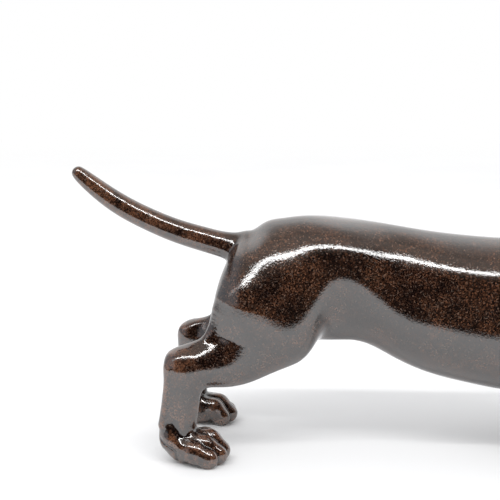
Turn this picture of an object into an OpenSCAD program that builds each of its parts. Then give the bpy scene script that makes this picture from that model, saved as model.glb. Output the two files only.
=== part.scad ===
// Glazed ceramic dachshund, standing with its tail raised behind.
// +X points to the nose, +Y to the dog's left, +Z up; the paws stand on z = 0.
// The clay pieces were made separately and luted together before firing:
// a hollow trunk, a hollow head and neck, and a solid tail, ears and legs.

/* [Trunk] */
// Height of the rump, the highest point of the back
rump_height = 102.8; // [100:0.2:106]
// Height of the back just behind the ribs
back_height = 94.2; // [92:0.2:97]
// Height of the lowest point of the chest above the ground
chest_clearance = 23; // [21:0.5:26]
// Height of the waist's underside above the ground
waist_clearance = 47.4; // [45:0.2:50]
// Width of the trunk across the chest
chest_width = 54; // [50:0.5:57]
// Width of the trunk across the hips
hip_width = 46.6; // [44:0.2:50]
// Thickness of the cast clay wall
wall = 5; // [4:0.25:6]
// Diameter of the vent hole in the belly
vent_d = 6; // [4:0.5:8]

/* [Tail] */
// Height of the tail's tip
tail_tip_height = 124; // [118:1:130]
// Diameter of the tail where it leaves the rump
tail_root_d = 11.4; // [10:0.2:12.4]
// Diameter of the tail near its tip
tail_tip_d = 5.2; // [4.6:0.2:6]

/* [Legs] */
// Distance between the centre lines of the left and right paws
paw_spacing = 52; // [50:0.5:54]
// Width of a paw
paw_width = 19; // [17:0.5:20]
// Thickness of the hind leg below the hock
shin_depth = 16.4; // [15:0.2:17.4]

/* [Head] */
// Width of the skull
skull_width = 33; // [30:0.5:35]
// Length of an ear from its root to its rounded end
ear_length = 42; // [38:1:46]
// Thickness of an ear
ear_thickness = 4.6; // [4:0.2:5.4]

/* [Hidden] */

GLAZE = [0.20, 0.13, 0.11];
GLAZE_WARM = [0.27, 0.17, 0.13];

// Facets round a limb's balls and round the trunk
ball_facets = 18;
trunk_facets = 32;

tail_tip_x = -154.43;
nose_x = 157;
foot_y = paw_spacing / 2;
toe_r = paw_width / 4.5;

// Trunk stations from the rear: x, top, bottom, half width
trunk_stations = [
    [-80, rump_height - 5.3, waist_clearance + 12.6, hip_width / 2 - 5.8],
    [-74, rump_height - 2.5, waist_clearance + 8.6, hip_width / 2 - 2.8],
    [-66, rump_height - 0.6, waist_clearance + 5.1, hip_width / 2 - 0.8],
    [-57, rump_height, waist_clearance + 2.1, hip_width / 2],
    [-42, rump_height - 1.1, waist_clearance + 0.4, hip_width / 2 - 0.3],
    [-30, rump_height - 2.7, waist_clearance - 0.2, hip_width / 2 - 0.3],
    [-17, back_height + 3.8, waist_clearance - 6.2, chest_width / 2 - 3.2],
    [-2, back_height + 2.1, 34.6, chest_width / 2 - 1.8],
    [14, back_height + 0.8, 30.5, chest_width / 2 - 0.6],
    [30, back_height, 27.4, chest_width / 2],
    [50, back_height + 1.4, chest_clearance + 1.2, chest_width / 2],
    [66, back_height + 3.6, chest_clearance, chest_width / 2 - 1.5],
    [78, back_height, chest_clearance + 5, chest_width / 2 - 5]
];
rear_dome = 7;
front_dome = 14;
dome_rings = 4;

// Hind leg stations: x, outward y, z, then the ball's half sizes along x, y and z
hind_leg_stations = [
    [-70, 12, 80, 15, 10.5, 15],
    [-71.5, 16.5, 67, 21.5, 13, 19],
    [-61.5, 18.5, 53, 14, 12.5, 14],
    [-77, 20.5, 45.5, 13, 11, 12.5],
    [-92, 23.5, 43, 10.5, 9, 11.8],
    [-105.3, foot_y - 1, 43.4, 8.2, 7.2, 8.2],
    [-106.2, foot_y - 0.5, 33, shin_depth / 2, 7, 8],
    [-107.8, foot_y, 21.5, shin_depth / 2, 7.4, 8],
    [-106.8, foot_y, 9, 10, paw_width / 2 - 1.5, 10]
];

// Front leg stations, in the same terms
front_leg_stations = [
    [64, 13, 82, 13, 11, 13],
    [76, 16, 67, 14, 11.5, 15],
    [73, 19, 52, 15, 11.5, 14],
    [63, 22, 41, 10.5, 9, 10.5],
    [66, 24, 31, 8.6, 7.8, 9],
    [69, foot_y - 0.5, 20, 7.8, 7.2, 8],
    [71.5, foot_y, 9, 10, paw_width / 2 - 1.5, 10]
];

// Neck stations from the shoulders up to the skull: x, y, z and half sizes
neck_stations = [
    [60, 0, 76, 21, 20, 22],
    [74, 0, 90, 19, 18, 20],
    [84, 0, 106, 16, 15.5, 17],
    [90, 0, 122, 14.5, 14.5, 15],
    [96, 0, 134, 15, 15.5, 15]
];

// Skull and muzzle stations from the back of the head to the nose
skull_stations = [
    [93, 0, 137, 11, skull_width / 2 - 4, 11],
    [104, 0, 137, 14, skull_width / 2, 14],
    [118, 0, 133.5, 11, skull_width / 2 - 5, 12],
    [132, 0, 130.5, 9, 9.6, 10.4],
    [145.5, 0, 129, 8.6, 8.2, 8.8]
];

// Ear stations from the root down: x, outward y, z, half length, half thickness, half height
ear_stations = [
    [97, 13.5, 145, 9, ear_thickness / 2, 5],
    [97, 18, 137, 12, ear_thickness / 2, 8],
    [98, 19, 125, 14, ear_thickness / 2, 10],
    [100, 17, 158 - ear_length, 12, ear_thickness / 2, 9]
];

// Tail stations from inside the rump to the tip: x, z, radius
tail_stations = [
    [-76, 90, tail_root_d / 2 + 1.6],
    [-86, 90, tail_root_d / 2 + 0.4],
    [-96, 91.1, tail_root_d / 2 - 0.2],
    [-108, 94.3, 5.15],
    [-122, 99.2, 4.5],
    [-137, 107.2, 4.4],
    [-150.5, 117.4, tail_tip_d / 2 + 0.9],
    [tail_tip_x, tail_tip_height - 2.7, tail_tip_d / 2]
];

// A point on the smooth curve through the stations s, with t from 0 to len(s) - 1
function along(s, t) =
    let (
        i = min(floor(t), len(s) - 2),
        u = t - i,
        a = s[max(i - 1, 0)],
        b = s[i],
        c = s[i + 1],
        d = s[min(i + 2, len(s) - 1)]
    )
    b + ((c - a) * u + (2 * a - 5 * b + 4 * c - d) * u * u + (3 * b - a - 3 * c + d) * u * u * u) / 2;

// One cross-section of the trunk, pulled in by inset and scaled about its middle
function trunk_ring(x, s, inset, k) =
    let (
        half_h = (s[1] - s[2]) / 2 - inset,
        half_w = s[3] - inset,
        mid = (s[1] + s[2]) / 2
    )
    [for (i = [0:trunk_facets - 1])
        let (a = 360 * i / trunk_facets)
        [x, k * half_w * cos(a) * (1 - 0.06 * sin(a)), mid + k * half_h * sin(a)]];

// All cross-sections of the trunk, with a round dome at each end
function trunk_rings(inset, steps) =
    let (
        last = len(trunk_stations) - 1,
        rear = trunk_stations[0],
        front = trunk_stations[last]
    )
    concat(
        [for (k = [dome_rings:-1:1])
            let (a = 82 * k / dome_rings)
            trunk_ring(rear[0] - (rear_dome - inset) * sin(a), rear, inset, cos(a))],
        [for (i = [0:steps])
            let (s = along(trunk_stations, last * i / steps))
            trunk_ring(s[0], s, inset, 1)],
        [for (k = [1:dome_rings])
            let (a = 82 * k / dome_rings)
            trunk_ring(front[0] + (front_dome - inset) * sin(a), front, inset, cos(a))]
    );

// A round cross-section of the tail, square to its curve
function tail_ring(s, dir) =
    [for (i = [0:ball_facets - 1])
        let (a = 360 * i / ball_facets)
        [s[0] - s[2] * cos(a) * dir[1], -s[2] * sin(a), s[1] + s[2] * cos(a) * dir[0]]];

function unit(v) = v / norm(v);

function tail_rings(steps) =
    let (
        last = len(tail_stations) - 1,
        tip = tail_stations[last],
        tip_dir = unit([for (j = [0:1]) tip[j] - tail_stations[last - 1][j]])
    )
    concat(
        [for (i = [0:steps])
            let (
                t = last * i / steps,
                a = along(tail_stations, max(t - 0.05, 0)),
                b = along(tail_stations, min(t + 0.05, last))
            )
            tail_ring(along(tail_stations, t), unit([b[0] - a[0], b[1] - a[1]]))],
        [for (k = [1:3])
            let (a = 80 * k / 3)
            tail_ring(
                [
                    tip[0] + tip[2] * sin(a) * tip_dir[0],
                    tip[1] + tip[2] * sin(a) * tip_dir[1],
                    tip[2] * cos(a)
                ],
                tip_dir)]
    );

// A closed solid through a list of rings that have the same number of points
module loft(rings) {
    n = len(rings[0]);
    m = len(rings);
    polyhedron(
        points = [for (r = rings) each r],
        faces = concat(
            [[for (i = [0:n - 1]) i]],
            [for (j = [0:m - 2], i = [0:n - 1])
                let (k = (i + 1) % n)
                [j * n + k, j * n + i, (j + 1) * n + i, (j + 1) * n + k]],
            [[for (i = [n - 1:-1:0]) (m - 1) * n + i]]
        ),
        convexity = 6
    );
}

// An ellipsoid at a station
module ball(s) {
    translate([s[0], s[1], s[2]])
        scale([s[3], s[4], s[5]])
            sphere(r = 1, $fn = ball_facets);
}

// A limb: balls hulled in pairs along the smooth curve through the stations
module chain(stations, steps) {
    last = len(stations) - 1;
    for (i = [0:steps - 1])
        hull() {
            ball(along(stations, last * i / steps));
            ball(along(stations, last * (i + 1) / steps));
        }
}

// The trunk's outer form, which the other pieces are coped to
module trunk_form() {
    loft(trunk_rings(0, 28));
}

// Everything below the ground, which flattens the soles
module ground() {
    translate([-200, -100, -40])
        cube([400, 200, 40]);
}

// Four toes fanned forward from a paw's middle at x
module toes(x) {
    spread = [-1.5, -0.5, 0.5, 1.5];
    reach = [11, 14.6, 14.6, 11];
    for (i = [0:3])
        hull() {
            ball([x, foot_y + 0.8 * spread[i] * toe_r, 7, 8, 4.8, 8]);
            ball([x + reach[i] - 6, foot_y + spread[i] * toe_r, 9.6, 5.6, toe_r, 7.2]);
            ball([x + reach[i], foot_y + 1.1 * spread[i] * toe_r, 5.2, 4.8, toe_r, 6.2]);
        }
}

// The muscle behind the thigh, from the seat bone down to the shank
module hamstring() {
    hull() {
        ball([-80, 17, 68, 13, 12, 14]);
        ball([-86, 21.5, 48, 10.5, 9, 12]);
    }
}

module hind_leg() {
    difference() {
        union() {
            chain(hind_leg_stations, 16);
            hamstring();
            toes(-105);
        }
        trunk_form();
        ground();
    }
}

module front_leg() {
    difference() {
        union() {
            chain(front_leg_stations, 12);
            toes(73);
        }
        trunk_form();
        neck_form();
        ground();
    }
}

// The neck's outer form, which the shoulders are coped to
module neck_form() {
    chain(neck_stations, 8);
}

// The head and neck's outer form, which the ears are coped to
module head_form() {
    neck_form();
    chain(skull_stations, 8);
    // Nose
    hull() {
        ball([nose_x - 10, 0, 130.5, 6, 6.5, 7]);
        ball([nose_x - 3.5, 0, 132.5, 3.5, 4.8, 3.8]);
    }
    for (side = [-1, 1]) {
        // Cheek
        hull() {
            ball([105, side * 9, 129, 9, 7, 9]);
            ball([116, side * 7, 128, 6, 5, 6]);
        }
        // Brow over the eye
        hull() {
            ball([110, side * 7, 142, 6, 6, 5.5]);
            ball([116, side * 6.5, 139, 4, 4.4, 4]);
        }
        // Eye
        ball([116.5, side * 9.6, 136.8, 3.2, 3.2, 2.8]);
    }
}

// The hollow inside the neck and skull, open at the shoulders
module head_hollow() {
    hull() {
        ball([74, 0, 90, 9, 9, 9]);
        ball([84, 0, 106, 9, 9, 9]);
    }
    hull() {
        ball([84, 0, 106, 9, 9, 9]);
        ball([91, 0, 122, 8.5, 8.5, 9]);
    }
    hull() {
        ball([91, 0, 122, 8.5, 8.5, 9]);
        ball([101, 0, 136, 8.5, 9.5, 8.5]);
    }
}

module ear_form() {
    difference() {
        chain(ear_stations, 8);
        head_form();
    }
}

module trunk() {
    color(GLAZE)
        difference() {
            trunk_form();
            loft(trunk_rings(wall, 16));
            // Opening into the hollow neck
            translate([56, 0, 70])
                rotate([0, 40, 0])
                    cylinder(d = 16, h = 40, $fn = 48);
            // Vent that lets the steam out in the kiln
            translate([-34, 0, 40])
                cylinder(d = vent_d, h = 26, $fn = 32);
        }
}

module head_neck() {
    color(GLAZE_WARM)
        difference() {
            head_form();
            head_hollow();
            trunk_form();
        }
}

module tail() {
    color(GLAZE_WARM)
        difference() {
            loft(tail_rings(22));
            trunk_form();
        }
}

module left_ear() {
    color(GLAZE)
        ear_form();
}

module right_ear() {
    color(GLAZE)
        mirror([0, 1, 0])
            ear_form();
}

module front_left_leg() {
    color(GLAZE_WARM)
        front_leg();
}

module front_right_leg() {
    color(GLAZE_WARM)
        mirror([0, 1, 0])
            front_leg();
}

module hind_left_leg() {
    color(GLAZE_WARM)
        hind_leg();
}

module hind_right_leg() {
    color(GLAZE_WARM)
        mirror([0, 1, 0])
            hind_leg();
}

trunk();
head_neck();
tail();
left_ear();
right_ear();
front_left_leg();
front_right_leg();
hind_left_leg();
hind_right_leg();
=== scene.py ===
import math

import bpy
import numpy as np
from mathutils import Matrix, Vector


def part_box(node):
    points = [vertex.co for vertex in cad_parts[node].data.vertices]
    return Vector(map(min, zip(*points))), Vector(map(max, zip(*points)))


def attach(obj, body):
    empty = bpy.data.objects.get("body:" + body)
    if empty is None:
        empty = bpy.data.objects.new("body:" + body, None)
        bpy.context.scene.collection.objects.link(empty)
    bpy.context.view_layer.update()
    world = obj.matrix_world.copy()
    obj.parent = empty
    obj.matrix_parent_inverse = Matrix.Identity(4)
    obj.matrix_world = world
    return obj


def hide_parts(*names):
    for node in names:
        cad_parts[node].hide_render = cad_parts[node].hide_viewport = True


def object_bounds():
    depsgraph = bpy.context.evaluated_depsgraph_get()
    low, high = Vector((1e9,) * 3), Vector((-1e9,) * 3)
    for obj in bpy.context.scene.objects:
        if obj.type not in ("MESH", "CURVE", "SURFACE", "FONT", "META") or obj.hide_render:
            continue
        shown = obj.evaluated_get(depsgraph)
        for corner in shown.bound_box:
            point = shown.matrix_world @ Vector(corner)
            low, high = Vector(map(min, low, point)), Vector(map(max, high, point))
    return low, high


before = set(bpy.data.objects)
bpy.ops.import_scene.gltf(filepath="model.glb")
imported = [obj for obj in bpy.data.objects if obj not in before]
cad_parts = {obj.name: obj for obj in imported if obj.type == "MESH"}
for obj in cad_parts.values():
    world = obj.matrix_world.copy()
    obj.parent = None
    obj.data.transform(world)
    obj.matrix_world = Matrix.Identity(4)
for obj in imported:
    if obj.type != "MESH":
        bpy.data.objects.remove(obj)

# A glazed ceramic dachshund. The clay is sculpted as a distance field in millimetres, in the
# frame's own axes, meshed once, and cut along the seams where the luted pieces meet, so the
# glaze runs unbroken over them.

cad_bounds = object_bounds()
MM = 0.001


def box_mm(node):
    """A node's lowest and highest corners in millimetres."""
    lo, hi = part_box(node)
    return np.array(lo) / MM, np.array(hi) / MM


trunk_lo, trunk_hi = box_mm("trunk")
head_lo, head_hi = box_mm("head_neck")
tail_lo, tail_hi = box_mm("tail")
hind_lo, hind_hi = box_mm("hind_left_leg")
front_lo, front_hi = box_mm("front_left_leg")
ear_lo, ear_hi = box_mm("left_ear")

# Driving places, in millimetres
PAW_HALF_WIDTH = 11.1
HEEL_TO_PAW = 10.0
TOE_TO_PAW = 21.0
foot_y = hind_hi[1] - PAW_HALF_WIDTH
hind_x = hind_lo[0] + HEEL_TO_PAW
front_x = front_hi[0] - TOE_TO_PAW
rump_x = trunk_lo[0]
rump_top = trunk_hi[2]
chest_low = trunk_lo[2]
nose_x = head_hi[0]
crown_z = head_hi[2]
tail_tip_x = tail_lo[0]
tail_tip_z = tail_hi[2]

# ---------------------------------------------------------------- field tools


def length(v):
    return np.sqrt(np.einsum("ij,ij->i", v, v))


def smooth_min(a, b, k):
    """The union of two fields, with a fillet k mm wide."""
    h = np.maximum(k - np.abs(a - b), 0.0) / k
    return np.minimum(a, b) - h * h * h * k / 6.0


def smooth_cut(body, tool, k):
    """The body with the tool's form carved out of it, its rim rounded over k mm."""
    return -smooth_min(-body, tool, k)


def turned(v, pitch=0.0, yaw=0.0):
    """Vectors turned back by yaw about Z, then by pitch about Y, in degrees."""
    c, s = math.cos(math.radians(yaw)), math.sin(math.radians(yaw))
    x = v[:, 0] * c + v[:, 1] * s
    y = v[:, 1] * c - v[:, 0] * s
    c, s = math.cos(math.radians(pitch)), math.sin(math.radians(pitch))
    return np.stack([x * c + v[:, 2] * s, y, v[:, 2] * c - x * s], axis=1)


def ellipsoid(p, centre, radii, pitch=0.0, yaw=0.0):
    """Pitch lifts the ellipsoid's front end, yaw turns it outward."""
    q = p - np.asarray(centre, float)
    if pitch or yaw:
        q = turned(q, pitch, yaw)
    q = q / np.asarray(radii, float)
    k0 = length(q)
    k1 = length(q / np.asarray(radii, float))
    return k0 * (k0 - 1.0) / np.maximum(k1, 1e-9)


def rod(p, a, b, ra, rb, squash=1.0):
    """A round bar from a to b whose radius goes from ra to rb; squash narrows it along Y."""
    a = np.asarray(a, float)
    b = np.asarray(b, float)
    ab = b - a
    h = np.clip((p - a) @ ab / (ab @ ab), 0.0, 1.0)
    d = p - a - h[:, None] * ab
    d[:, 1] /= squash
    return length(d) - (ra + (rb - ra) * h)


class Curve:
    """A smooth curve through values at rising stations, level at both ends."""

    def __init__(self, stations, values):
        x = np.asarray(stations, float)
        y = np.asarray(values, float)
        n = len(x)
        h = np.diff(x)
        slope = np.diff(y) / h
        m = np.zeros((n, n))
        rhs = np.zeros(n)
        m[0, 0] = m[-1, -1] = 1.0
        for i in range(1, n - 1):
            m[i, i - 1 : i + 2] = h[i], 2 * (h[i - 1] + h[i]), h[i - 1]
            rhs[i] = 3 * (h[i] * slope[i - 1] + h[i - 1] * slope[i])
        self.x, self.y, self.h = x, y, h
        self.d = np.linalg.solve(m, rhs)

    def __call__(self, t):
        t = np.clip(t, self.x[0], self.x[-1])
        i = np.clip(np.searchsorted(self.x, t) - 1, 0, len(self.h) - 1)
        h = self.h[i]
        u = (t - self.x[i]) / h
        y0, y1 = self.y[i], self.y[i + 1]
        d0, d1 = self.d[i] * h, self.d[i + 1] * h
        return y0 + u * (d0 + u * (3 * (y1 - y0) - 2 * d0 - d1 + u * (2 * (y0 - y1) + d0 + d1)))


class Loft:
    """A body along X with oval sections. Stations are x, top, bottom, half width, egg, and
    how full the shoulders of the section are."""

    def __init__(self, stations, rear_dome, front_dome):
        s = np.asarray(stations, float)
        self.first, self.last = s[0, 0], s[-1, 0]
        self.top = Curve(s[:, 0], s[:, 1])
        self.bottom = Curve(s[:, 0], s[:, 2])
        self.half = Curve(s[:, 0], s[:, 3])
        self.egg = Curve(s[:, 0], s[:, 4])
        self.full = Curve(s[:, 0], s[:, 5] if s.shape[1] > 5 else 0 * s[:, 0])
        self.rear, self.front = rear_dome, front_dome

    def __call__(self, p):
        x = p[:, 0]
        top, bottom, w = self.top(x), self.bottom(x), self.half(x)
        hh = (top - bottom) / 2
        ez = (p[:, 2] - (top + bottom) / 2) / hh
        w = w * (1 - self.egg(x) * np.clip(ez, -1.2, 1.2))
        high = np.clip(ez, 0.0, 1.0) ** 2
        w = w * (1 + self.full(x) * 4 * high * (1 - high))
        ey = p[:, 1] / w
        past = np.maximum(self.first - x, 0.0)
        before = np.maximum(x - self.last, 0.0)
        ex = past / self.rear + before / self.front
        k0 = np.sqrt(ex**2 + ey**2 + ez**2)
        gx = past / self.rear**2 + before / self.front**2
        k1 = np.sqrt(gx**2 + (ey / w) ** 2 + (ez / hh) ** 2)
        return k0 * (k0 - 1.0) / np.maximum(k1, 1e-9)


def tube(p, points, radii, squash=1.0, steps=6):
    """A bar of varying radius along a smooth curve; squash narrows it along Y."""
    pts = np.asarray(points, float)
    t = np.arange(len(pts), dtype=float)
    curves = [Curve(t, pts[:, k]) for k in range(3)] + [Curve(t, radii)]
    # Let the ends of the curve run straight on instead of turning level
    for c in curves:
        c.d[0] = (c.y[1] - c.y[0]) * 1.5 - c.d[1] / 2
        c.d[-1] = (c.y[-1] - c.y[-2]) * 1.5 - c.d[-2] / 2
    fine = np.linspace(0, len(pts) - 1, steps * (len(pts) - 1) + 1)
    x, y, z, r = (c(fine) for c in curves)
    d = np.full(len(p), 1e3)
    for i in range(len(fine) - 1):
        a, b = (x[i], y[i], z[i]), (x[i + 1], y[i + 1], z[i + 1])
        d = np.minimum(d, rod(p, a, b, r[i], r[i + 1], squash))
    return d


def blend_all(fields, k):
    d = fields[0]
    for other in fields[1:]:
        d = smooth_min(d, other, k)
    return d


# ---------------------------------------------------------------- the sculpture

# Trunk stations: x from the rump's rear end, top, bottom, half width, how much narrower the
# section is above than below, and how full its shoulders are
barrel = Loft(
    [
        (rump_x + 7, rump_top - 7.6, 60.0, 16.5, 0.10, 0.00),
        (rump_x + 13, rump_top - 3.7, 56.0, 19.5, 0.10, 0.00),
        (rump_x + 21, rump_top - 1.1, 52.5, 21.8, 0.06, 0.00),
        (rump_x + 30, rump_top, 49.5, 23.0, -0.04, 0.00),
        (rump_x + 45, rump_top - 0.5, 47.8, 23.0, -0.42, 0.00),
        (rump_x + 57, rump_top - 1.8, 47.2, 23.2, -0.25, 0.00),
        (rump_x + 70, rump_top - 3.7, 41.2, 23.8, 0.02, 0.02),
        (rump_x + 85, rump_top - 6.1, 34.6, 25.2, 0.05, 0.12),
        (rump_x + 101, rump_top - 7.9, 30.5, 26.4, 0.06, 0.15),
        (rump_x + 117, rump_top - 9.0, 27.4, 27.0, 0.06, 0.13),
        (rump_x + 137, rump_top - 7.6, 24.2, 27.0, 0.06, 0.08),
        (rump_x + 153, rump_top - 5.0, chest_low, 25.5, 0.06, 0.04),
        (rump_x + 165, rump_top - 8.6, 28.0, 22.0, 0.06, 0.00),
    ],
    rear_dome=9.0,
    front_dome=13.5,
)


def trunk_field(p):
    breast = ellipsoid(p, (rump_x + 166, 0, 60), (12.5, 14, 19))
    keel = ellipsoid(p, (rump_x + 146, 0, 36), (24, 13, 13.2))
    return blend_all([barrel(p), breast, keel], 8.0)


def engraved(d, p, line, width, depth, inner):
    """The field with a soft groove pressed into its outer side, along a line seen from the side."""
    flat = p * np.array([1.0, 0.0, 1.0])
    away = tube(flat, [(x, 0, z) for x, z in line], [0.0] * len(line), steps=4)
    outer = np.clip((p[:, 1] - inner) / 2.5, 0.0, 1.0)
    return d + depth * np.exp(-((away / width) ** 2)) * outer


# Each toe, from the inner one outward: its root, its knuckle and its tip, from the paw's centre
TOES = (
    ((-1.5, -4.2, 9.5), (9.3, -6.8, 8.2), (12.7, -6.9, 4.1)),
    ((-1.0, -1.6, 10.5), (11.3, -2.4, 9.1), (15.9, -2.3, 4.5)),
    ((-1.0, 1.2, 10.5), (9.6, 2.3, 7.8), (15.0, 2.5, 4.2)),
    ((-2.0, 3.0, 9.5), (5.6, 5.9, 6.2), (11.4, 6.9, 3.9)),
)


def paw_field(p, x):
    q = p - np.array([x, foot_y, 0.0])
    palm = ellipsoid(q, (3.0, -1.4, 6.6), (9.4, 8.8, 6.8))
    heel = rod(q, (-3.4, 0, 10.6), (0.4, -0.8, 4.9), 6.6, 5.2)
    toes = []
    for root, knuckle, tip in TOES:
        upper = rod(q, root, knuckle, 4.3, 4.5, squash=0.78)
        lower = rod(q, knuckle, tip, 4.5, 4.3, squash=0.82)
        toes.append(smooth_min(upper, lower, 2.5))
    foot = smooth_min(smooth_min(palm, heel, 4.0), blend_all(toes, 1.0), 2.2)
    crease = [(x - 9.0, 11.2), (x - 4.8, 8.4), (x - 2.0, 5.2), (x - 2.4, -1.0)]
    return engraved(foot, p, crease, 0.9, 0.7, foot_y)


def hind_leg_field(p):
    """The dog's left hind leg; x is the paw's centre."""
    x = hind_x
    haunch = ellipsoid(p, (x + 38, 12.0, 71), (22.3, 14.2, 22))
    thigh = ellipsoid(p, (x + 36.5, 16.6, 64), (21.5, 13.0, 20))
    knee = ellipsoid(p, (x + 44, 16, 56), (10.5, 10.0, 12))
    seat = rod(p, (x + 28, 16.4, 67), (x + 24, 16.8, 52), 12.9, 8.2)
    upper = blend_all([haunch, thigh, knee, seat], 9.0)
    shank = tube(
        p,
        [
            (x + 41, 14.5, 52.5),
            (x + 29, 16.8, 46.8),
            (x + 16, 19.2, 42.6),
            (x + 4, foot_y - 1.8, 41.6),
        ],
        [12.6, 12.4, 11.2, 8.0],
        squash=0.74,
        steps=12,
    )
    tendon = tube(
        p,
        [
            (x - 3.6, 22.3, 44.9),
            (x + 1.8, 21.6, 47.6),
            (x + 7.4, 20.8, 49.7),
            (x + 12.8, 19.4, 54.4),
            (x + 17.8, 17.5, 62.0),
        ],
        [2.6, 2.5, 2.7, 3.4, 5.0],
    )
    heel_bone = ellipsoid(p, (x - 1.0, foot_y - 2.2, 42.8), (5.0, 5.0, 5.4))
    shin = tube(
        p,
        [(x + 0.4, foot_y - 1.2, 41), (x - 0.6, foot_y - 1.9, 28), (x - 2.4, foot_y - 2.0, 15.5)],
        [7.6, 7.9, 7.8],
        squash=0.9,
    )
    # The shin's rear outer edge stands out as a blunt ridge
    edge = tube(
        p,
        [(x - 4.4, foot_y + 1.2, 41.0), (x - 5.6, foot_y + 1.2, 30), (x - 7.4, foot_y + 1.5, 17)],
        [2.8, 2.6, 2.8],
    )
    shin = smooth_min(shin, edge, 1.6)
    lower = smooth_min(shank, blend_all([tendon, heel_bone], 3.0), 4.0)
    lower = smooth_min(lower, shin, 8.0)
    leg = smooth_min(upper, lower, 9.0)
    leg = smooth_min(leg, paw_field(p, x), 3.5)
    instep = [(x - 3.0, 18.5), (x - 1.6, 15.0), (x + 0.6, 12.0)]
    return engraved(leg, p, instep, 2.0, 1.0, foot_y)


def front_leg_field(p):
    """The dog's left front leg; x runs from the paw's centre."""
    x = front_x
    blade = ellipsoid(p, (x - 9, 14.5, 79), (13.5, 10, 19), pitch=-25)
    shoulder = ellipsoid(p, (x + 4.5, 17, 65), (13, 11, 15))
    arm = ellipsoid(p, (x - 2, 19.5, 52), (14, 10.8, 12.5), pitch=30)
    elbow = ellipsoid(p, (x - 9.5, 22, 43), (8.4, 7.8, 8.4))
    upper = blend_all([blade, shoulder, arm, elbow], 6.0)
    forearm = tube(
        p,
        [(x - 7, 22.6, 43), (x - 5, 24, 32), (x - 1.5, 25.2, 21), (x - 0.8, foot_y, 12)],
        [9.4, 8.2, 7.5, 8.2],
        squash=0.93,
    )
    leg = smooth_min(upper, forearm, 5.0)
    return smooth_min(leg, paw_field(p, x), 3.5)


def tail_field(p):
    x, z = tail_tip_x, tail_tip_z
    return tube(
        p,
        [
            (x + 84, 0, z - 36.6),
            (x + 70, 0, z - 34.6),
            (x + 58, 0, z - 31.8),
            (x + 46, 0, z - 28.2),
            (x + 33, 0, z - 22.9),
            (x + 19, 0, z - 15.4),
            (x + 6.8, 0, z - 6.3),
            (x + 2.9, 0, z - 2.9),
        ],
        [7.4, 6.0, 5.4, 5.15, 4.9, 4.6, 3.7, 2.9],
    )


# Head stations, with x measured back from the nose and heights down from the crown
skull = Loft(
    [
        (nose_x - 69, crown_z - 4.6, crown_z - 25, 12.5, 0.05),
        (nose_x - 60, crown_z - 0.6, crown_z - 28, 15.6, 0.05),
        (nose_x - 51, crown_z - 0.2, crown_z - 30, 16.2, 0.05),
        (nose_x - 43, crown_z - 3.0, crown_z - 31, 14.2, 0.05),
        (nose_x - 36, crown_z - 7.4, crown_z - 31, 11.7, 0.05),
        (nose_x - 26, crown_z - 10.2, crown_z - 30.4, 9.7, 0.05),
        (nose_x - 15, crown_z - 12.2, crown_z - 29.4, 8.6, 0.05),
        (nose_x - 7, crown_z - 13.6, crown_z - 28.2, 7.4, 0.05),
    ],
    rear_dome=7.0,
    front_dome=5.0,
)


def at_head(back, y, down):
    return (nose_x - back, y, crown_z - down)


def face_field(p):
    """One side of the face, for points with y outward."""
    d = skull(p)
    cheek = ellipsoid(p, at_head(50, 9.5, 20.5), (10.5, 6.6, 9.5), pitch=-8)
    d = smooth_min(d, cheek, 5.0)
    brow = ellipsoid(p, at_head(41.5, 7.6, 8.2), (6.4, 4.4, 3.6), pitch=-22)
    d = smooth_min(d, brow, 3.0)
    flew = ellipsoid(p, at_head(13, 4.6, 23.4), (9.5, 4.6, 5.2))
    d = smooth_min(d, flew, 3.0)
    chin = rod(p, at_head(40, 0, 27.5), at_head(9, 0, 27.6), 7.0, 4.2)
    d = smooth_min(d, chin, 3.0)
    # The eye sits in a socket between an upper and a lower lid
    socket = ellipsoid(p, at_head(38.4, 13.8, 13.6), (6.4, 3.2, 4.2), pitch=-10)
    d = smooth_cut(d, socket, 2.5)
    lid = ellipsoid(p, at_head(39.9, 9.4, 13.1), (5.7, 4.4, 4.3), pitch=-8)
    slit = ellipsoid(p, at_head(39.9, 14.4, 13.3), (4.4, 4.6, 2.5), pitch=-14)
    d = smooth_min(d, smooth_cut(lid, slit, 0.6), 1.4)
    ball = ellipsoid(p, at_head(39.9, 9.2, 13.2), (3.9, 3.9, 3.7))
    d = np.minimum(d, ball)
    # The nose pad with its nostril
    pad = ellipsoid(p, at_head(4.4, 0, 17.6), (4.4, 5.4, 4.2))
    d = smooth_min(d, pad, 1.2)
    nostril = ellipsoid(p, at_head(1.2, 2.9, 17.8), (2.0, 1.2, 1.3), yaw=-30)
    d = smooth_cut(d, nostril, 0.7)
    wing = rod(p, at_head(1.8, 4.2, 18.8), at_head(4.2, 5.6, 19.0), 0.5, 0.4)
    d = smooth_cut(d, wing, 0.6)
    # The mouth line, from under the nose back to its corner
    mouth = tube(
        p,
        [
            at_head(2.2, 0, 25.0),
            at_head(5.5, 6.6, 25.6),
            at_head(14, 9.2, 26.6),
            at_head(25, 10.2, 27.2),
            at_head(35, 12.0, 26.4),
        ],
        [0.9, 1.0, 1.0, 1.0, 0.6],
    )
    return smooth_cut(d, mouth, 0.9)


def head_field(p):
    neck = tube(
        p,
        [
            at_head(101, 0, 78),
            at_head(85, 0, 60.5),
            at_head(74.5, 0, 44),
            at_head(67, 0, 29),
            at_head(61, 0, 17),
        ],
        [25.0, 20.5, 17.0, 15.2, 14.0],
        squash=0.92,
        steps=16,
    )
    mirrored = p * np.array([1.0, -1.0, 1.0])
    face = np.minimum(face_field(p), face_field(mirrored))
    return smooth_min(neck, face, 9.0)


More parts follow.
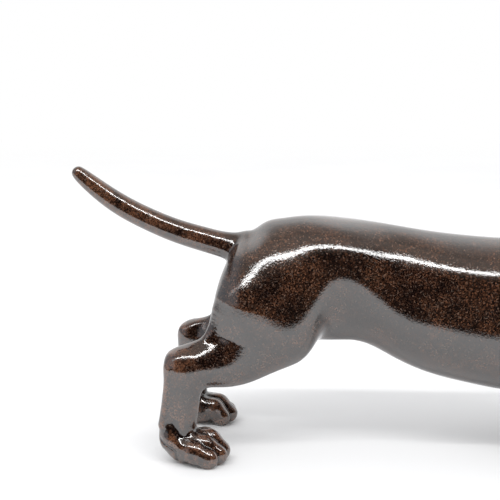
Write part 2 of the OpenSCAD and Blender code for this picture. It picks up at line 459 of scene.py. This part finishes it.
def ear_field(p):
    """The dog's left ear: a thin leaf that hangs from the skull and bows over the cheek."""
    x, z = p[:, 0], p[:, 2]
    drop = crown_z - z
    middle = Curve([0, 6, 14, 26, 38, 46], [10.5, 13.6, 17.6, 19.2, 17.6, 16.4])(drop)
    rear_curl = 0.012 * np.maximum(nose_x - 62 - x, 0.0) ** 2
    across = p[:, 1] - middle - rear_curl
    flat = np.stack([x, np.zeros_like(x), z], axis=1)
    root = ellipsoid(flat, at_head(60.5, 0, 8.5), (9.5, 5, 7.6))
    leaf = ellipsoid(flat, at_head(58.5, 0, 26.5), (13.2, 5, 16.8), pitch=6)
    outline = smooth_min(root, leaf, 9.0)
    edge = 1.7
    a = np.maximum(outline + edge, 0.0)
    b = np.maximum(np.abs(across) + edge - 2.0, 0.0)
    inside = np.minimum(np.maximum(outline + edge, np.abs(across) + edge - 2.0), 0.0)
    return np.sqrt(a * a + b * b) + inside - edge


# ---------------------------------------------------------------- joining the pieces

# How far past its box a piece's field still matters, and the vent hole's radius, in mm
REACH = 15.0
VENT_RADIUS = 3.0
PIECES = (
    ("trunk", trunk_field, 1, trunk_lo, trunk_hi),
    ("head_neck", head_field, 1, head_lo - [22, 0, 20], head_hi),
    ("tail", tail_field, 1, tail_lo, tail_hi),
    ("left_ear", ear_field, 1, ear_lo, ear_hi),
    ("right_ear", ear_field, -1, ear_lo, ear_hi),
    ("front_left_leg", front_leg_field, 1, front_lo, front_hi),
    ("front_right_leg", front_leg_field, -1, front_lo, front_hi),
    ("hind_left_leg", hind_leg_field, 1, hind_lo, hind_hi),
    ("hind_right_leg", hind_leg_field, -1, hind_lo, hind_hi),
)
FILLET = {"head_neck": 13.0, "left_ear": 2.4, "right_ear": 2.4, "front_left_leg": 8.0,
          "front_right_leg": 8.0, "hind_left_leg": 13.0, "hind_right_leg": 13.0}


def piece_fields(p):
    """The field of each piece at the points p, one column a piece."""
    out = np.empty((len(p), len(PIECES)))
    for i, (_, field, side, lo, hi) in enumerate(PIECES):
        q = p if side > 0 else p * np.array([1.0, -1.0, 1.0])
        away = length(np.maximum(np.maximum(lo - q, q - hi), 0.0))
        near = away < REACH
        out[:, i] = np.maximum(away, REACH)
        out[near, i] = field(q[near])
    return out


def clay_field(p):
    """The whole dog, with its pieces blended into each other."""
    d = piece_fields(p)
    whole = d[:, 0]
    for i, piece in enumerate(PIECES[1:], start=1):
        if piece[0] == "tail":
            # The tail flows into the back above, and meets the rump in a crease below
            rise = np.clip((p[:, 2] - (rump_top - 12)) / 9.0, 0.0, 1.0)
            k = 2.0 + 7.0 * rise * rise * (3 - 2 * rise)
        else:
            k = FILLET[piece[0]]
        whole = smooth_min(whole, d[:, i], k)
    vent_x = rump_x + 53
    vent = rod(p, (vent_x, 0, 38), (vent_x, 0, 60), VENT_RADIUS, VENT_RADIUS)
    whole = smooth_cut(whole, vent, 1.0)
    # The soles are ground flat
    height = p[:, 2]
    return smooth_cut(whole, height, 1.2)


def slope_of(field, p, step=0.04):
    """The gradient of a field, from four samples round each point."""
    g = np.zeros_like(p)
    for corner in ((1, 1, 1), (1, -1, -1), (-1, 1, -1), (-1, -1, 1)):
        c = np.array(corner, float)
        g += c * field(p + c * step)[:, None]
    return g / (4 * step)


# ---------------------------------------------------------------- meshing

# The grid's step in mm, its cells to a block, and how far the grid runs past the CAD box
VOXEL = 0.7
BLOCK = 8
MARGIN = 3.0
# The field's value in blocks that the surface doesn't cross
FAR = 9.0


def sample(lo, hi):
    """The field on a grid; blocks far from the surface get only its sign."""
    blocks = np.ceil((hi - lo) / (VOXEL * BLOCK)).astype(int)
    corner = np.stack(np.meshgrid(*[np.arange(n) for n in blocks], indexing="ij"), -1)
    corner = corner.reshape(-1, 3)
    middle = lo + (corner + 0.5) * BLOCK * VOXEL
    value = clay_field(middle)
    in_reach = BLOCK * VOXEL * 1.4
    keep = np.abs(value) < in_reach
    grid = np.where(value < 0, -FAR, FAR).astype(np.float32)
    grid = np.broadcast_to(grid.reshape(*blocks, 1, 1, 1), (*blocks, BLOCK, BLOCK, BLOCK)).copy()
    step = np.arange(BLOCK)
    local = np.stack(np.meshgrid(step, step, step, indexing="ij"), -1).reshape(-1, 3)
    for part in np.array_split(corner[keep], max(1, keep.sum() // 400)):
        p = lo + (part[:, None, :] * BLOCK + local[None]) * VOXEL
        f = clay_field(p.reshape(-1, 3)).reshape(len(part), BLOCK, BLOCK, BLOCK)
        grid[part[:, 0], part[:, 1], part[:, 2]] = f
    return grid.transpose(0, 3, 1, 4, 2, 5).reshape(*(blocks * BLOCK))


def untangle(grid):
    """Fills grid corners that touch the clay only across a diagonal, so no edge is shared by four."""
    for _ in range(6):
        changed = 0
        for axis in range(3):
            u, v = (axis + 1) % 3, (axis + 2) % 3
            views = []
            for du, dv in ((0, 0), (1, 0), (1, 1), (0, 1)):
                cut = [slice(None)] * 3
                cut[u] = slice(du, grid.shape[u] - 1 + du)
                cut[v] = slice(dv, grid.shape[v] - 1 + dv)
                views.append(grid[tuple(cut)])
            a, b, c, d = (view < 0 for view in views)
            for bad, pick in (((a & c & ~b & ~d), (1, 3)), ((b & d & ~a & ~c), (0, 2))):
                changed += bad.sum()
                for k in pick:
                    views[k][bad] = -0.02
        if not changed:
            break


def net(grid, lo):
    """A quad mesh on the grid's zero level, one vertex in each cell that it crosses."""
    untangle(grid)
    inside = grid < 0
    n = np.array(grid.shape) - 1
    corners = [(i, j, k) for i in (0, 1) for j in (0, 1) for k in (0, 1)]

    def shifted(a, c):
        return a[c[0] : c[0] + n[0], c[1] : c[1] + n[1], c[2] : c[2] + n[2]]

    count = sum(shifted(inside, c).astype(np.int8) for c in corners)
    mixed = (count > 0) & (count < 8)
    cells = np.argwhere(mixed)
    index = np.full(mixed.shape, -1, np.int32)
    index[mixed] = np.arange(len(cells))
    total = np.zeros((len(cells), 3))
    hits = np.zeros(len(cells))
    for a in corners:
        for axis in range(3):
            if a[axis]:
                continue
            b = tuple(1 if k == axis else a[k] for k in range(3))
            fa = grid[tuple((cells + a).T)]
            fb = grid[tuple((cells + b).T)]
            cross = (fa < 0) != (fb < 0)
            t = np.where(cross, fa / np.where(cross, fa - fb, 1.0), 0.0)
            place = np.array(a, float) + t[:, None] * (np.array(b, float) - np.array(a, float))
            total += place * cross[:, None]
            hits += cross
    points = lo + (cells + total / hits[:, None]) * VOXEL
    quads = []
    for axis in range(3):
        u, v = (axis + 1) % 3, (axis + 2) % 3
        near = [slice(1, n[k]) for k in range(3)]
        near[axis] = slice(0, n[axis])
        far = list(near)
        far[axis] = slice(1, n[axis] + 1)
        a, b = inside[tuple(near)], inside[tuple(far)]
        for want, order in ((a & ~b, (0, 1, 2, 3)), (b & ~a, (3, 2, 1, 0))):
            g = np.argwhere(want)
            g += [s.start for s in near]
            step_u, step_v = np.eye(3, dtype=int)[u], np.eye(3, dtype=int)[v]
            ring = (g - step_u - step_v, g - step_v, g, g - step_u)
            face = np.stack([index[tuple(r.T)] for r in ring], 1)
            quads.append(face[:, order])
    return points, np.concatenate(quads)


def settle(points, quads, rounds=2):
    """Evens out the mesh along the surface, and puts each vertex exactly on it."""
    edges = np.concatenate([quads[:, [i, (i + 1) % 4]] for i in range(4)])
    for _ in range(rounds):
        total = np.zeros_like(points)
        for k in range(3):
            total[:, k] = np.bincount(edges[:, 0], points[edges[:, 1], k], len(points))
            total[:, k] += np.bincount(edges[:, 1], points[edges[:, 0], k], len(points))
        count = np.bincount(edges.ravel(), minlength=len(points))
        points = points + 0.5 * (total / count[:, None] - points)
        points = onto_surface(points)
    return points


def onto_surface(points):
    g = slope_of(clay_field, points)
    f = clay_field(points)
    move = (f / np.maximum(length(g) ** 2, 0.05))[:, None] * g
    size = length(move)[:, None]
    return points - move * np.minimum(1.0, 0.5 * VOXEL / np.maximum(size, 1e-9))


def snap_seams(points, quads, owner):
    """Moves the vertices between two pieces onto the line where both claim the clay equally."""
    n = len(points)
    low = np.full(n, 99)
    high = np.full(n, -1)
    for i in range(4):
        np.minimum.at(low, quads[:, i], owner)
        np.maximum.at(high, quads[:, i], owner)
    seam = np.nonzero(low != high)[0]
    p = points[seam]
    a, b = low[seam], high[seam]
    row = np.arange(len(seam))

    def gap(q):
        f = piece_fields(q)
        return f[row, a] - f[row, b]

    for _ in range(3):
        normal = slope_of(clay_field, p)
        normal /= length(normal)[:, None]
        g = slope_of(gap, p)
        g -= np.einsum("ij,ij->i", g, normal)[:, None] * normal
        move = (gap(p) / np.maximum(length(g) ** 2, 0.05))[:, None] * g
        size = length(move)[:, None]
        p = p - move * np.minimum(1.0, 0.35 * VOXEL / np.maximum(size, 1e-9))
        p = onto_surface(p)
    points = points.copy()
    points[seam] = p
    return points


def rims_of(faces):
    """The closed rims of an open shell, each as a list of vertex numbers in its faces' order."""
    edges = np.concatenate([faces[:, [i, (i + 1) % 4]] for i in range(4)]).astype(np.int64)
    code = edges[:, 0] * (1 << 32) + edges[:, 1]
    back = edges[:, 1] * (1 << 32) + edges[:, 0]
    free = edges[~np.isin(code, back)]
    follow = {}
    for a, b in free.tolist():
        follow.setdefault(a, []).append(b)
    rims = []
    while follow:
        start = next(iter(follow))
        rim, at = [start], follow[start].pop()
        if not follow[start]:
            del follow[start]
        while at != start:
            rim.append(at)
            nxt = follow[at].pop()
            if not follow[at]:
                del follow[at]
            at = nxt
        rims.append(rim)
    return rims


# How deep the hidden caps reach under the skin, in mm
CAP_DEPTH = 4.0


def build_piece(name, points, normals, ridges, faces, material):
    """One closed piece: its share of the skin, and a hidden cap in each seat."""
    rims = rims_of(faces)
    used = np.unique(faces)
    number = np.full(len(points), -1)
    number[used] = np.arange(len(used))
    verts = [points[used]]
    caps = []
    for rim in rims:
        middle = points[rim].mean(0) - normals[rim].mean(0) * CAP_DEPTH
        apex = len(used) + len(verts) - 1
        verts.append(middle[None])
        ring = number[rim]
        caps.append(np.stack([np.roll(ring, -1), ring, np.full(len(ring), apex)], 1))
    verts = np.concatenate(verts)
    skin = number[faces]
    caps = np.concatenate(caps) if caps else np.zeros((0, 3), int)
    corners = np.concatenate([skin.ravel(), caps.ravel()])
    starts = np.concatenate([np.arange(len(skin)) * 4, len(skin) * 4 + np.arange(len(caps)) * 3])
    totals = np.concatenate([np.full(len(skin), 4), np.full(len(caps), 3)])
    mesh = bpy.data.meshes.new(name + "_glazed")
    mesh.vertices.add(len(verts))
    mesh.vertices.foreach_set("co", (verts * MM).ravel())
    mesh.loops.add(len(corners))
    mesh.loops.foreach_set("vertex_index", corners.astype(np.int32))
    mesh.polygons.add(len(starts))
    mesh.polygons.foreach_set("loop_start", starts.astype(np.int32))
    mesh.polygons.foreach_set("loop_total", totals.astype(np.int32))
    mesh.update(calc_edges=True)
    mesh.validate()
    mesh.polygons.foreach_set("use_smooth", np.ones(len(mesh.polygons), bool))
    ridge = mesh.attributes.new("ridge", "FLOAT", "POINT")
    ridge.data.foreach_set("value", np.concatenate([ridges[used], np.zeros(len(rims))]))
    loop_normals = np.zeros((len(corners), 3))
    loop_normals[: skin.size] = normals[faces.ravel()]
    cap_loops = verts[caps]
    flat = np.cross(cap_loops[:, 1] - cap_loops[:, 0], cap_loops[:, 2] - cap_loops[:, 0])
    flat /= np.maximum(length(flat), 1e-9)[:, None]
    loop_normals[skin.size :] = np.repeat(flat, 3, axis=0)
    mesh.normals_split_custom_set(loop_normals.tolist())
    piece = bpy.data.objects.new(name + "_glazed", mesh)
    bpy.context.scene.collection.objects.link(piece)
    mesh.materials.append(material)
    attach(piece, "root")
    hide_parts(name)
    return piece


def sculpt(material):
    lo = np.array(cad_bounds[0]) / MM - MARGIN
    hi = np.array(cad_bounds[1]) / MM + MARGIN
    points, quads = net(sample(lo, hi), lo)
    points = settle(points, quads)
    owner = np.argmin(piece_fields(points[quads].mean(1)), axis=1)
    points = snap_seams(points, quads, owner)
    slope = slope_of(clay_field, points)
    normals = slope / length(slope)[:, None]
    # How sharply the skin turns outward: the field's fall just above and below it
    probe = 1.2
    ridges = clay_field(points + normals * probe) + clay_field(points - normals * probe)
    flat = np.zeros(len(points))
    for axis in range(3):
        step = np.zeros(3)
        step[axis] = probe
        flat += clay_field(points + step) + clay_field(points - step)
    ridges = (flat - ridges) / probe
    for i, piece in enumerate(PIECES):
        build_piece(piece[0], points, normals, ridges, quads[owner == i], material)


# ---------------------------------------------------------------- materials


class Nodes:
    """A short way to write a node tree."""

    def __init__(self, tree):
        self.tree = tree
        tree.nodes.clear()

    def add(self, kind, settings=None, **inputs):
        node = self.tree.nodes.new(kind)
        for key, value in (settings or {}).items():
            setattr(node, key, value)
        for key, value in inputs.items():
            socket = node.inputs[key.replace("_", " ")]
            if isinstance(value, bpy.types.NodeSocket):
                self.tree.links.new(value, socket)
            else:
                socket.default_value = value
        return node

    def noise(self, coords, scale, detail=2.0, roughness=0.5):
        n = self.add("ShaderNodeTexNoise", Scale=scale, Detail=detail, Roughness=roughness)
        self.tree.links.new(coords, n.inputs["Vector"])
        return n.outputs["Fac"]

    def ramp(self, value, low, high, start=0.0, end=1.0):
        n = self.add(
            "ShaderNodeMapRange", {"clamp": True, "interpolation_type": "SMOOTHSTEP"},
            Value=value, From_Min=low, From_Max=high, To_Min=start, To_Max=end,
        )
        return n.outputs["Result"]

    def math(self, kind, a, b=0.0):
        n = self.add("ShaderNodeMath", {"operation": kind})
        for socket, value in zip(n.inputs, (a, b)):
            if isinstance(value, bpy.types.NodeSocket):
                self.tree.links.new(value, socket)
            else:
                socket.default_value = value
        return n.outputs["Value"]

    def mix(self, factor, a, b):
        n = self.add("ShaderNodeMix", {"data_type": "RGBA"})
        for socket, value in ((n.inputs[0], factor), (n.inputs[6], a), (n.inputs[7], b)):
            if isinstance(value, bpy.types.NodeSocket):
                self.tree.links.new(value, socket)
            else:
                socket.default_value = value
        return n.outputs[2]


# The glaze's refractive index, raised by its iron, and its orange peel's depth in metres
GLAZE_IOR = 2.12
PEEL_DEPTH = 0.00006


def glaze_material():
    """A near-black temmoku glaze that breaks to copper, with copper flecks, pale flecks painted in as
    the glints of metallic crystals, and orange peel.
    """
    material = bpy.data.materials.new("temmoku_glaze")
    material.use_nodes = True
    n = Nodes(material.node_tree)
    coords = n.add("ShaderNodeTexCoord").outputs["Object"]
    black = (0.004, 0.0022, 0.002, 1.0)
    brown = (0.030, 0.012, 0.006, 1.0)
    copper = (0.165, 0.072, 0.038, 1.0)
    clay = (0.30, 0.19, 0.13, 1.0)
    # Crystals: every cell of about 0.5 mm has its own mix of black, brown and copper
    crystal = n.add("ShaderNodeTexVoronoi", Scale=2100.0)
    n.tree.links.new(coords, crystal.inputs["Vector"])
    chance = n.add("ShaderNodeSeparateColor", Color=crystal.outputs["Color"])
    cloud = n.ramp(n.noise(coords, 70.0, 4.0, 0.6), 0.36, 0.64)
    mottle = n.ramp(n.noise(coords, 900.0, 3.0, 0.7), 0.36, 0.62)
    clouded = n.ramp(cloud, 0.0, 1.0, 0.12, 1.0)
    mottled = n.ramp(mottle, 0.0, 1.0, 0.60, 1.0)
    warmth = n.math("MULTIPLY", clouded, mottled)
    grain = n.ramp(chance.outputs["Red"], 0.0, 1.0)
    base = n.mix(n.math("MULTIPLY", grain, warmth), black, brown)
    fleck = n.ramp(chance.outputs["Green"], 0.60, 1.0)
    base = n.mix(n.math("MULTIPLY", fleck, n.ramp(warmth, 0.0, 1.0, 0.18, 0.60)), base, copper)
    # Painted glints: a few crystals are painted pale, standing in for the sparkle of metallic
    # crystals
    pale = n.ramp(chance.outputs["Blue"], 0.86, 1.0, 0.0, 0.36)
    base = n.mix(pale, base, (0.20, 0.125, 0.085, 1.0))
    # The glaze runs thin on ridges, where it breaks to copper, and pools black in creases
    ridge = n.add("ShaderNodeAttribute", {"attribute_name": "ridge"}).outputs["Fac"]
    worn = n.ramp(n.noise(coords, 260.0, 4.0, 0.6), 0.36, 0.60)
    broken = n.math("MULTIPLY", n.ramp(ridge, 0.10, 0.34), worn)
    base = n.mix(n.math("MULTIPLY", broken, n.ramp(grain, 0.0, 1.0, 0.20, 0.75)), base, copper)
    pooled = n.ramp(ridge, -0.45, -0.08, 0.8, 0.0)
    base = n.mix(pooled, base, black)
    # The soles are wiped clean of glaze
    height = n.add("ShaderNodeSeparateXYZ", Vector=coords).outputs["Z"]
    wiped = n.ramp(n.noise(coords, 300.0, 2.0), 0.3, 0.7, 0.0001, 0.0007)
    sole = n.ramp(n.math("SUBTRACT", height, wiped), -0.0001, 0.0001, 1.0, 0.0)
    base = n.mix(sole, base, clay)
    smooth = n.ramp(n.noise(coords, 500.0, 2.0), 0.35, 0.7, 0.04, 0.10)
    matt = n.ramp(chance.outputs["Blue"], 0.80, 0.98, 0.0, 0.16)
    rough = n.math("MAXIMUM", n.math("ADD", smooth, matt), n.math("MULTIPLY", sole, 0.8))
    # Orange peel
    broad_peel = n.math("MULTIPLY", n.noise(coords, 330.0, 2.0), 0.6)
    peel = n.math("ADD", n.noise(coords, 1100.0, 3.0, 0.6), broad_peel)
    bump = n.add("ShaderNodeBump", Strength=1.0, Distance=PEEL_DEPTH, Height=peel)
    shader = n.add(
        "ShaderNodeBsdfPrincipled",
        Base_Color=base, Roughness=rough, IOR=GLAZE_IOR, Normal=bump.outputs["Normal"],
    )
    n.add("ShaderNodeOutputMaterial", Surface=shader.outputs["BSDF"])
    return material


def paper_material():
    """The pale floor. Mirror-like glaze sees it end a hand's width in front of the dog: past that
    line a painted dark reflection stands in for the dark room in front.
    """
    material = bpy.data.materials.new("pale_floor")
    material.use_nodes = True
    n = Nodes(material.node_tree)
    coords = n.add("ShaderNodeTexCoord").outputs["Object"]
    tone = n.ramp(n.noise(coords, 6.0, 3.0), 0.3, 0.7, 0.0, 1.0)
    pale = n.mix(tone, (0.80, 0.80, 0.80, 1), (0.83, 0.83, 0.83, 1))
    shader = n.add("ShaderNodeBsdfPrincipled", Base_Color=pale, Roughness=0.7)
    # Far off the floor rises into the white of the room
    place = n.add("ShaderNodeSeparateXYZ", Vector=coords)
    out = n.add("ShaderNodeVectorMath", {"operation": "LENGTH"})
    n.tree.links.new(coords, out.inputs[0])
    far = n.ramp(out.outputs["Value"], 0.5, 2.0)
    glow = n.add("ShaderNodeEmission", Color=(1, 1, 1, 1), Strength=1.0)
    floor = n.add("ShaderNodeMixShader", Fac=far)
    n.tree.links.new(shader.outputs["BSDF"], floor.inputs[1])
    n.tree.links.new(glow.outputs["Emission"], floor.inputs[2])
    # Painted reflection: past the line, glossy rays see a near-black emission in place of the floor
    dark_in_reflections = n.add("ShaderNodeEmission", Color=(0.020, 0.013, 0.010, 1), Strength=1.0)
    edge = n.ramp(place.outputs["Y"], -0.162, -0.155, 1.0, 0.0)
    path = n.add("ShaderNodeLightPath")
    reflected = n.math("MULTIPLY", edge, path.outputs["Is Glossy Ray"])
    both = n.add("ShaderNodeMixShader", Fac=reflected)
    n.tree.links.new(floor.outputs["Shader"], both.inputs[1])
    n.tree.links.new(dark_in_reflections.outputs["Emission"], both.inputs[2])
    n.add("ShaderNodeOutputMaterial", Surface=both.outputs["Shader"])
    return material


def build_floor():
    half = 3.0
    mesh = bpy.data.meshes.new("floor")
    corners = [(-half, -half, 0), (half, -half, 0), (half, half, 0), (-half, half, 0)]
    mesh.from_pydata(corners, [], [(0, 1, 2, 3)])
    floor = bpy.data.objects.new("floor", mesh)
    bpy.context.scene.collection.objects.link(floor)
    mesh.materials.append(paper_material())


def build_camera():
    """Seen from the dog's right, slightly above, as the rear half fills the frame."""
    azimuth = math.radians(3.0)
    elevation = math.radians(10.2)
    distance = 0.4373
    back = Vector(
        (
            math.sin(azimuth) * math.cos(elevation),
            -math.cos(azimuth) * math.cos(elevation),
            math.sin(elevation),
        )
    )
    target = Vector(((rump_x + 7.5) * MM, 0, (rump_top - 15.2) * MM))
    data = bpy.data.cameras.new("camera")
    data.lens = 72.0
    data.sensor_width = 36.0
    camera = bpy.data.objects.new("camera", data)
    camera.location = target + back * distance
    camera.rotation_euler = (-back).to_track_quat("-Z", "Y").to_euler()
    bpy.context.scene.collection.objects.link(camera)
    bpy.context.scene.camera = camera


def area_light(name, place, aim, size, power, colour=(1, 1, 1)):
    data = bpy.data.lights.new(name, "AREA")
    data.shape = "RECTANGLE"
    data.size, data.size_y = size
    data.energy = power
    data.color = colour
    light = bpy.data.objects.new(name, data)
    light.location = place
    light.rotation_euler = (Vector(aim) - Vector(place)).to_track_quat("-Z", "Y").to_euler()
    bpy.context.scene.collection.objects.link(light)
    return light


def build_world():
    """A studio: white behind the dog, dark in front of it, a dim ceiling."""
    world = bpy.data.worlds.new("studio")
    bpy.context.scene.world = world
    world.use_nodes = True
    n = Nodes(world.node_tree)
    direction = n.add("ShaderNodeTexCoord").outputs["Generated"]
    split = n.add("ShaderNodeSeparateXYZ", Vector=direction)
    behind = n.ramp(split.outputs["Y"], -0.15, 0.35)
    up = split.outputs["Z"]
    dark = (0.008, 0.005, 0.004, 1)
    ceiling = (0.52, 0.43, 0.38, 1)
    white = (1.0, 1.0, 1.0, 1)
    front = n.mix(n.ramp(up, 0.60, 0.9), dark, ceiling)
    back = n.mix(n.ramp(up, 0.68, 0.97), (1.25, 1.25, 1.25, 1), ceiling)
    # A dark seam runs across the ceiling, straight above
    apart = n.math("ABSOLUTE", n.math("SUBTRACT", split.outputs["Y"], 0.11))
    back = n.mix(n.ramp(apart, 0.02, 0.06, 0.6, 0.0), back, dark)
    room = n.mix(behind, front, back)
    # A grey wall closes the room behind the tail
    side = n.ramp(split.outputs["X"], -0.80, -0.58, 1.0, 0.0)
    room = n.mix(side, room, (0.46, 0.47, 0.50, 1))
    path = n.add("ShaderNodeLightPath")
    seen = n.mix(path.outputs["Is Camera Ray"], room, white)
    lit = n.mix(path.outputs["Is Diffuse Ray"], seen, (1.16, 1.17, 1.19, 1))
    background = n.add("ShaderNodeBackground", Color=lit, Strength=1.0)
    n.add("ShaderNodeOutputWorld", Surface=background.outputs["Background"])


def build_lights():
    """A long, narrow strip light over the dog's right side, and a dimmer one beyond its tail."""
    middle_x, middle_z = 0.1, 0.08
    away = 1.2
    rise = math.radians(59.0)
    y = -away * math.cos(rise)
    z = middle_z + away * math.sin(rise)
    strip_length = 2.0
    left_x = middle_x - strip_length
    area_light("strip", (middle_x, y, z), (middle_x, 0, middle_z), (strip_length, 0.068), 10.2)
    area_light("strip_left", (left_x, y, z), (left_x, 0, middle_z), (strip_length, 0.06), 1.3)


glaze = glaze_material()
sculpt(glaze)
build_floor()
build_camera()
build_world()
build_lights()
bpy.context.scene.view_settings.view_transform = "Standard"
